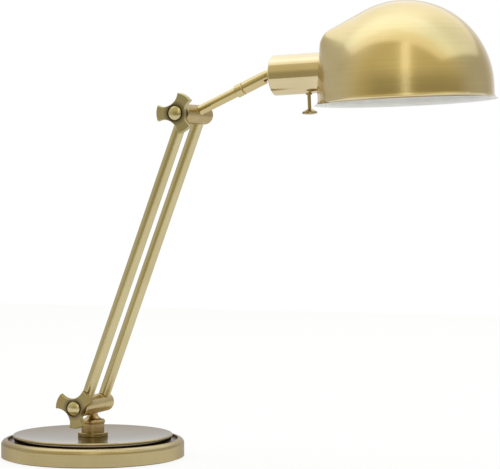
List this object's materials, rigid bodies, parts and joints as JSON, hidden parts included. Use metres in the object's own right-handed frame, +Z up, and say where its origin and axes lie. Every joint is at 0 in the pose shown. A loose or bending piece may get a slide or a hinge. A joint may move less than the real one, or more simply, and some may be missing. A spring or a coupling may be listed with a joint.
{
  "type": "swing arm desk lamp",
  "caption": "Desk lamp with a weighted round base, twin lower rods, clamp knobs at the arm hinges and a hooded dome shade on a tilting socket cup with a turn switch.",
  "frame": {"origin": "centre of the base on the table", "axes": "+Z up, +X the way both arm stages reach, knobs facing -Y"},
  "size_m": [0.5275, 0.1906, 0.4642],
  "materials": {
    "brass": "brushed antique",
    "iron": "rough cast",
    "felt": "felt",
    "black": "matte",
    "steel": "zinc plated",
    "moulding": "moulded",
    "enamel": "white enamel"
  },
  "bodies": {
    "base": {"base_cover": "brass", "base_weight": "iron", "felt_pad": "felt", "cord_bushing": "black", "post_collar": "brass", "spindle_washer": "steel"},
    "post": {"swivel_post": "brass", "swivel_spindle": "steel", "spindle_nut": "steel"},
    "lower_arm": {"lower_near_knuckle": "brass", "lower_far_knuckle": "brass", "upper_near_knuckle": "brass", "upper_far_knuckle": "brass", "near_rod": "brass", "far_rod": "brass", "lower_bolt": "steel", "upper_bolt": "steel", "lower_spacer": "brass", "upper_spacer": "brass"},
    "lower_knob": {"lower_knob": "brass", "lower_knob_cap": "brass"},
    "upper_knob": {"upper_knob": "brass", "upper_knob_cap": "brass"},
    "upper_arm": {"arm_knuckle": "brass", "arm_tube": "brass", "arm_ferrule": "brass", "swivel_sleeve": "brass", "lamp_lead": "black", "tilt_pin": "brass"},
    "head": {"tilt_lug": "brass", "lug_nut": "steel", "lead_tail": "black", "socket_cup": "brass", "lamp_holder": "moulding", "shade_ring": "moulding", "switch_bush": "brass", "shade": "brass", "shade_lining": "enamel"},
    "switch": {"switch_stem": "brass", "switch_knob": "brass"}
  },
  "joints": [
    {"name": "base_swivel", "type": "hinge", "parent": "base", "child": "post", "pos_m": [0, 0, 0.0254], "axis": [0, 0, 1], "range_deg": [-170, 170]},
    {"name": "lower_tilt", "type": "hinge", "parent": "post", "child": "lower_arm", "pos_m": [0, 0, 0.0543], "axis": [0, 1, 0], "range_deg": [-60, 38]},
    {"name": "upper_tilt", "type": "hinge", "parent": "lower_arm", "child": "upper_arm", "pos_m": [0.11341, 0, 0.35492], "axis": [0, 1, 0], "range_deg": [-55, 50]},
    {"name": "head_tilt", "type": "hinge", "parent": "upper_arm", "child": "head", "pos_m": [0.1954, 0, 0.39228], "axis": [0, 1, 0], "range_deg": [-45, 35]},
    {"name": "lower_knob_turn", "type": "hinge", "parent": "lower_arm", "child": "lower_knob", "pos_m": [0, 0, 0.0543], "axis": [0, -1, 0], "range_deg": [0, 360]},
    {"name": "upper_knob_turn", "type": "hinge", "parent": "lower_arm", "child": "upper_knob", "pos_m": [0.11341, 0, 0.35492], "axis": [0, -1, 0], "range_deg": [0, 360]},
    {"name": "switch_turn", "type": "hinge", "parent": "head", "child": "switch", "pos_m": [0.23866, 0, 0.39417], "axis": [0.0436, 0, -0.999], "continuous": true}
  ]
}
